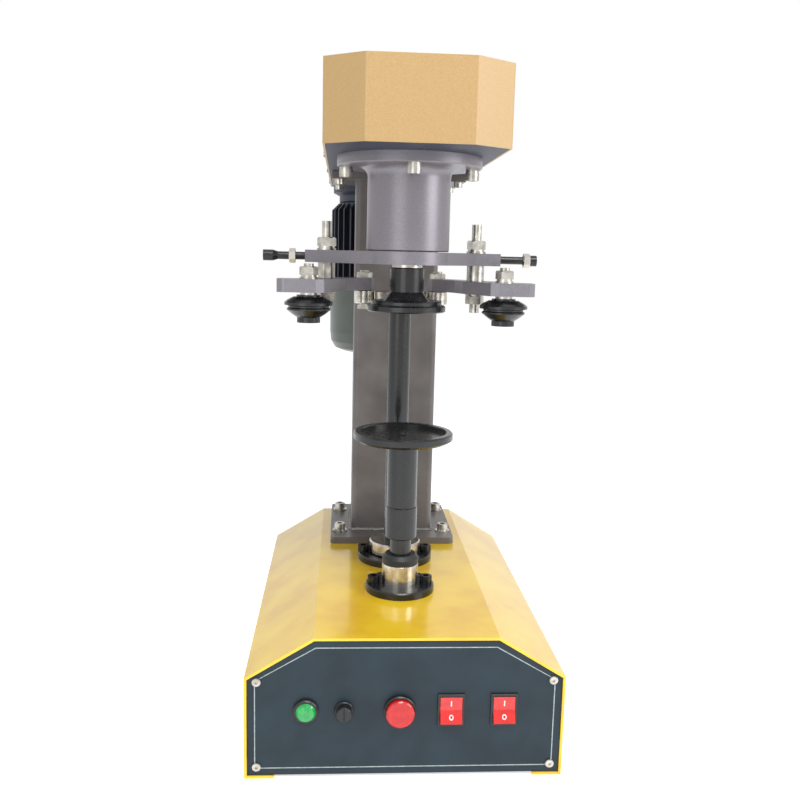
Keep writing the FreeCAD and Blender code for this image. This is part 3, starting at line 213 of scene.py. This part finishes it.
def new_piece(name, vertices, faces, material, body, smooth=False):
    """A mesh piece with a material that rides on a body."""
    data = bpy.data.meshes.new(name)
    data.from_pydata([tuple(v) for v in vertices], [], faces)
    data.validate()
    data.materials.append(material)
    for face in data.polygons:
        face.use_smooth = smooth
    piece = bpy.data.objects.new(name, data)
    bpy.context.scene.collection.objects.link(piece)
    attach(piece, body)
    return piece


print_white, print_tree, print_shader, print_place = new_paint("screen_print_grey")
print_tree.links.new(shade_between(print_tree, mottle(print_tree, print_place, 3),
                                   ("#8E9898", "#A8B0B0")), print_shader.inputs["Base Color"])
print_shader.inputs["Roughness"].default_value = 0.55
shoulder_share, shoulder_lean = 0.7196, 0.28
line_inset, line_width, line_height = 6.5 * MM, 0.9 * MM, 0.12 * MM
half_panel = panel_high.x
top_half = 0.0862
shoulder = panel_low.z + (panel_high.z - panel_low.z) * shoulder_share


def border(inset):
    """The panel's outline drawn in by an inset, in X and Z."""
    side, roof = half_panel - inset, panel_high.z - inset
    right = [(side, panel_low.z + inset), (side, shoulder - inset * shoulder_lean),
             (top_half - inset * shoulder_lean, roof)]
    return right + [(-x, z) for x, z in reversed(right)]


outer_line, inner_line = border(line_inset), border(line_inset + line_width)
corners = len(outer_line)
line_points, line_faces = [], []
for depth in (panel_low.y - line_height, panel_low.y + line_height):
    for outline in (outer_line, inner_line):
        line_points += [(x, depth, z) for x, z in outline]
for k in range(corners):
    n = (k + 1) % corners
    front_out, front_in, back_out, back_in = (corners * level for level in range(4))
    line_faces += [(front_out + n, front_out + k, front_in + k, front_in + n),
                   (front_out + k, front_out + n, back_out + n, back_out + k),
                   (front_in + n, front_in + k, back_in + k, back_in + n),
                   (back_out + k, back_out + n, back_in + n, back_in + k)]
new_piece("panel_border_line", line_points, line_faces, print_white, "root")

# -------------------------------------------------------------- panel controls
# Moulded plastic controls: a green lamp, a fuse cap, a red push button with a
# black ring, and two red rockers in black frames.


def moulded(name, colour, rough, grain_mm=0.4, depth_mm=0.006, coat=0.0):
    """Injection-moulded plastic with a fine spark-eroded grain."""
    material, tree, shader, place = new_paint(name)
    darker = "#" + "".join(f"{int(int(colour[i:i + 2], 16) * 0.86):02X}" for i in (1, 3, 5))
    tree.links.new(shade_between(tree, mottle(tree, place, 6), (darker, colour)),
                   shader.inputs["Base Color"])
    tree.links.new(spread(tree, mottle(tree, place, 2), rough * 0.85, rough * 1.15),
                   shader.inputs["Roughness"])
    shader.inputs["Coat Weight"].default_value = coat
    relief(tree, shader, mottle(tree, place, grain_mm, 1.0), depth_mm)
    return material


black_plastic = moulded("moulded_black_abs", "#1B1C1E", 0.38)
red_plastic = moulded("moulded_red_abs", "#C81414", 0.26, coat=0.3)
dress(black_plastic, "control_bezels", "fuse_holder", "fuse_cap", "switch_frames", "cable_gland")
dress(red_plastic, "button_cap")
lamp_green = moulded("green_lamp_lens", "#12A04A", 0.12, coat=0.6)
lamp_shader = lamp_green.node_tree.nodes["Principled BSDF"]
lamp_shader.inputs["Emission Color"].default_value = linear("#0E8F3E")
lamp_shader.inputs["Emission Strength"].default_value = 0.12
dress(lamp_green, "lamp_lens")
rocker_red = moulded("clear_red_rocker", "#DC1A16", 0.14, coat=0.6)
dress(rocker_red, "lift_switch_rocker", "die_switch_rocker")

mark_white = moulded("inlaid_white_mark", "#F1EDE6", 0.4)
mark_size, mark_stroke, mark_rise = 5.2 * MM, 1.1 * MM, 0.25 * MM
mark_out, mark_up, oval = 3.55 * MM, 6.4 * MM, 0.82
rest_tilt = Matrix.Rotation(math.radians(-10), 3, "X")
face_lean = math.atan2(2.2, 12.5)
for body in ("lift_rocker", "die_rocker"):
    joint = next(j for j in frame["joints"] if j["child"] == body)
    pivot = Vector(joint["pos_m"])
    for name, side in (("on", 1), ("off", -1)):
        centre = Vector((0, -mark_out, side * mark_up))
        slant = Matrix.Rotation(face_lean * side, 3, "X")
        points, faces = [], []
        if name == "on":
            outline = [(-mark_stroke / 2, -mark_size / 2), (mark_stroke / 2, -mark_size / 2),
                       (mark_stroke / 2, mark_size / 2), (-mark_stroke / 2, mark_size / 2)]
            for depth in (-mark_rise, mark_rise):
                points += [Vector((x, depth, z)) for x, z in outline]
            faces = [(0, 1, 2, 3), (7, 6, 5, 4)]
            faces += [(k, k + 4, (k + 1) % 4 + 4, (k + 1) % 4) for k in range(4)]
        else:
            steps = 28
            for radius in (mark_size / 2, mark_size / 2 - mark_stroke):
                for depth in (-mark_rise, mark_rise):
                    points += [Vector((radius * oval * math.cos(2 * math.pi * k / steps), depth,
                                       radius * math.sin(2 * math.pi * k / steps)))
                               for k in range(steps)]
            for k in range(steps):
                n = (k + 1) % steps
                loops = [0, steps, 3 * steps, 2 * steps]
                for start, end in zip(loops, loops[1:] + loops[:1]):
                    faces.append((start + k, start + n, end + n, end + k))
        placed = [pivot + rest_tilt @ (centre + slant @ point) for point in points]
        new_piece(f"{body}_{name}_mark", placed, faces, mark_white, body)

# ---------------------------------------------------------------- panel screws
# Zinc-plated screws hold the panels, the column and the head, and the studs,
# sleeves and nuts of the roller arms have the same bright finish.


def steel(name, colours, rough, metallic=1.0, line_mm=0.25, depth_mm=0.01, coat=0.0):
    """Turned steel: fine lathe lines across the axis and a stained, uneven gloss."""
    material, tree, shader, place = new_paint(name)
    tree.links.new(shade_between(tree, mottle(tree, place, 9), colours),
                   shader.inputs["Base Color"])
    shader.inputs["Metallic"].default_value = metallic
    shader.inputs["Coat Weight"].default_value = coat
    tree.links.new(spread(tree, mottle(tree, place, 5), *rough), shader.inputs["Roughness"])
    lines = add(tree, "ShaderNodeMapping", {"Scale": (30, 30, 1 / (line_mm * MM))},
                {"Vector": place})
    cuts = add(tree, "ShaderNodeTexNoise", {"Scale": 1.0, "Detail": 2.0},
               {"Vector": lines.outputs["Vector"]})
    relief(tree, shader, cuts.outputs["Fac"], depth_mm)
    return material


zinc = steel("zinc_plated_steel", ("#9C9890", "#CBC7BE"), (0.22, 0.38))
dress(zinc, "panel_screws", "column_bolts", "head_bolts", "left_arm_bolts", "right_arm_bolts",
      "left_pivot_post", "right_pivot_post")

# --------------------------------------------------------------- lifting table
# Rod, collar, sleeve and plate are turned steel, blacked in hot oxide and oiled,
# so they are near black with a soft satin shine.  The flanges, their screws, the
# cam shaft, the chuck and the rollers are finished alike.
oxide = steel("oiled_black_oxide", ("#07080A", "#0E0F12"), (0.2, 0.34), metallic=0.0, coat=0.1)
dress(oxide, "lift_rod", "lift_collar", "lift_sleeve", "lift_plate", "plate_screw", "bush_flanges",
      "flange_screws", "cam_shaft", "seaming_chuck", "left_seaming_roller",
      "right_seaming_roller")
turned_bright = steel("bright_turned_steel", ("#A8A39A", "#D6D2C9"), (0.16, 0.3))
dress(turned_bright, "front_bush", "rear_bush", "spindle_bearings", "spindle_shaft",
      "motor_shaft", "arm_cam", "left_cam_follower", "right_cam_follower")
nitrile = moulded("black_nitrile_seal", "#101113", 0.5)
dress(nitrile, "bush_seal", "drive_belts")

# -------------------------------------------------------------- adjusting screws
# Black cap screws, each with a zinc-plated lock nut run some way up its thread.
lock_nut_share = {"left": (26.5 * MM, 33.0 * MM), "right": (7.0 * MM, 13.5 * MM)}
thread_radius = 4.3 * MM
for name, side in (("left", -1), ("right", 1)):
    node = f"{name}_adjusting_screw"
    low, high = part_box(node)
    tip = high.x if side > 0 else low.x
    near, far = lock_nut_share[name]
    material, tree, shader, place = new_paint(f"{name}_screw_and_lock_nut")
    axes = add(tree, "ShaderNodeSeparateXYZ", {}, {0: place})
    from_tip = add(tree, "ShaderNodeMath", {"operation": "SUBTRACT", 0: tip},
                   {1: axes.outputs["X"]})
    run = add(tree, "ShaderNodeMath", {"operation": "ABSOLUTE"}, {0: from_tip.outputs[0]})
    in_band = add(tree, "ShaderNodeMath", {"operation": "COMPARE", 1: (near + far) / 2,
                                           2: (far - near) / 2 + 0.2 * MM}, {0: run.outputs[0]})
    across = add(tree, "ShaderNodeMath", {"operation": "SUBTRACT", 1: (low.z + high.z) / 2},
                 {0: axes.outputs["Z"]})
    along = add(tree, "ShaderNodeMath", {"operation": "SUBTRACT", 1: (low.y + high.y) / 2},
                {0: axes.outputs["Y"]})
    axle_gap = add(tree, "ShaderNodeCombineXYZ", {},
                   {"Y": along.outputs[0], "Z": across.outputs[0]})
    radius = add(tree, "ShaderNodeVectorMath", {"operation": "LENGTH"},
                 {0: axle_gap.outputs[0]})
    outside = add(tree, "ShaderNodeMath", {"operation": "GREATER_THAN", 1: thread_radius},
                  {0: radius.outputs["Value"]})
    is_nut = add(tree, "ShaderNodeMath", {"operation": "MULTIPLY"},
                 {0: in_band.outputs[0], 1: outside.outputs[0]})
    tree.links.new(shade_between(tree, is_nut.outputs[0], ("#0B0B0D", "#C4C0B8")),
                   shader.inputs["Base Color"])
    tree.links.new(is_nut.outputs[0], shader.inputs["Metallic"])
    tree.links.new(spread(tree, mottle(tree, place, 4), 0.22, 0.36), shader.inputs["Roughness"])
    relief(tree, shader, mottle(tree, place, 0.5, 1.0), 0.01)
    dress(material, node)

# --------------------------------------------------------------- inner drive
# The drive inside the base and head is plain mill-finished steel and castings.
mill_steel = steel("mill_finished_steel", ("#5E5C58", "#7C7974"), (0.4, 0.6))
dress(mill_steel, "deck_plate", "floor_plate", "lift_gearmotor", "lift_cam", "lift_lever",
      "spindle_pulley", "motor_pulley")

# ---------------------------------------------------------------------- column
# A square steel tube welded to its foot, in satin grey paint.
grey_satin = enamel("satin_grey_paint", ("#55504E", "#625D5A", "#6B6663"), 1.2, (0.34, 0.46), 0.1)
dress(grey_satin, "column", "column_foot")


def textured_paint(name, colours, grain_mm, depth_mm, rough, metallic=0.0):
    """Hammered or crinkled paint: a fine grain in colour, gloss and height."""
    material, tree, shader, place = new_paint(name)
    grain = mottle(tree, place, grain_mm, 2.0)
    tree.links.new(shade_between(tree, grain, colours), shader.inputs["Base Color"])
    tree.links.new(spread(tree, grain, *rough), shader.inputs["Roughness"])
    shader.inputs["Metallic"].default_value = metallic
    relief(tree, shader, grain, depth_mm)
    return material


# The column is welded to its foot all round; the bead is laid in short overlapping
# runs, ground a little bright and painted thinly.
tube_low, tube_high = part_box("column")
weld_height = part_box("column_foot")[1].z
weld_radius, weld_pitch = 2.6 * MM, 2.4 * MM
tube_half_x, tube_half_y = 50 * MM, 40 * MM
tube_middle = (tube_low.y + tube_high.y) / 2
weld_paint = textured_paint("thin_paint_on_weld", ("#6F6B66", "#8E8A84"), 1.4, 0.05,
                            (0.28, 0.42), 0.4)
turns = [Vector((x * tube_half_x, tube_middle + y * tube_half_y, weld_height))
         for x, y in ((-1, -1), (1, -1), (1, 1), (-1, 1))]
path = []
for start, end in zip(turns, turns[1:] + turns[:1]):
    count = round((end - start).length / weld_pitch)
    path += [start.lerp(end, k / count) for k in range(count)]
weld_tree = bpy.data.node_groups.new("weld_runs", "GeometryNodeTree")
weld_tree.interface.new_socket("Geometry", in_out="INPUT", socket_type="NodeSocketGeometry")
radius_in = weld_tree.interface.new_socket("Radius", in_out="INPUT",
                                           socket_type="NodeSocketFloat")
weld_tree.interface.new_socket("Geometry", in_out="OUTPUT", socket_type="NodeSocketGeometry")
inside = add(weld_tree, "NodeGroupInput")
drop = add(weld_tree, "GeometryNodeMeshIcoSphere", {"Subdivisions": 2},
           {"Radius": inside.outputs["Radius"]})
uneven = add(weld_tree, "FunctionNodeRandomValue", {"data_type": "FLOAT_VECTOR", "Seed": 7,
             "Min": (0.85, 0.85, 0.75), "Max": (1.2, 1.2, 1.1)})
runs = add(weld_tree, "GeometryNodeInstanceOnPoints", {},
           {"Points": inside.outputs["Geometry"], "Instance": drop.outputs["Mesh"],
            "Scale": uneven.outputs[0]})
solid_runs = add(weld_tree, "GeometryNodeRealizeInstances", {},
                 {"Geometry": runs.outputs["Instances"]})
painted = add(weld_tree, "GeometryNodeSetMaterial", {"Material": weld_paint},
              {"Geometry": solid_runs.outputs["Geometry"]})
add(weld_tree, "NodeGroupOutput", {}, {"Geometry": painted.outputs["Geometry"]})
seam_mesh = bpy.data.meshes.new("weld_seam")
seam_mesh.from_pydata([tuple(point) for point in path], [], [])
weld = bpy.data.objects.new("column_weld_bead", seam_mesh)
bpy.context.scene.collection.objects.link(weld)
laying = weld.modifiers.new("weld_runs", "NODES")
laying.node_group = weld_tree
laying[radius_in.identifier] = weld_radius
laid = bpy.data.meshes.new_from_object(weld.evaluated_get(
    bpy.context.evaluated_depsgraph_get()))
weld.modifiers.remove(laying)
weld.data = laid
for face in laid.polygons:
    face.use_smooth = True
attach(weld, "root")

# ------------------------------------------------------------------------ head
# The belt cover is sheet steel in a fine gold texture paint.  The plate under it
# and the motor flange are painted dark navy grey: painted shade for the shade under the head.
gold = textured_paint("gold_texture_paint", ("#A58658", "#AE9062"), 0.9, 0.03, (0.3, 0.42))
dress(gold, "head_cover")
# painted shade: the near-black navy on the head plate and motor flange stands in for the shade
# under the head
painted_shade_navy = textured_paint("navy_painted_shade_texture_paint", ("#181C2E", "#20253A"), 1.6, 0.03, (0.4, 0.55))
dress(painted_shade_navy, "head_plate", "motor_flange")
silver = textured_paint("silver_casting_paint", ("#77737A", "#817D82"), 1.2, 0.03, (0.3, 0.4), 0.5)
dress(silver, "spindle_housing", "arm_bracket", "left_roller_arm", "right_roller_arm")

# ----------------------------------------------------------------------- motor
# A finned induction motor hangs behind the column, dark blue-black, with a
# pressed grey-green fan cover.
motor_dark = textured_paint("motor_blue_black", ("#14161F", "#1F2230"), 2.5, 0.08, (0.35, 0.5))
dress(motor_dark, "motor_body")
cover_green = enamel("grey_green_enamel", ("#3F4741", "#4C544E"), 1.5, (0.3, 0.42), 0.2)
dress(cover_green, "motor_fan_cover")
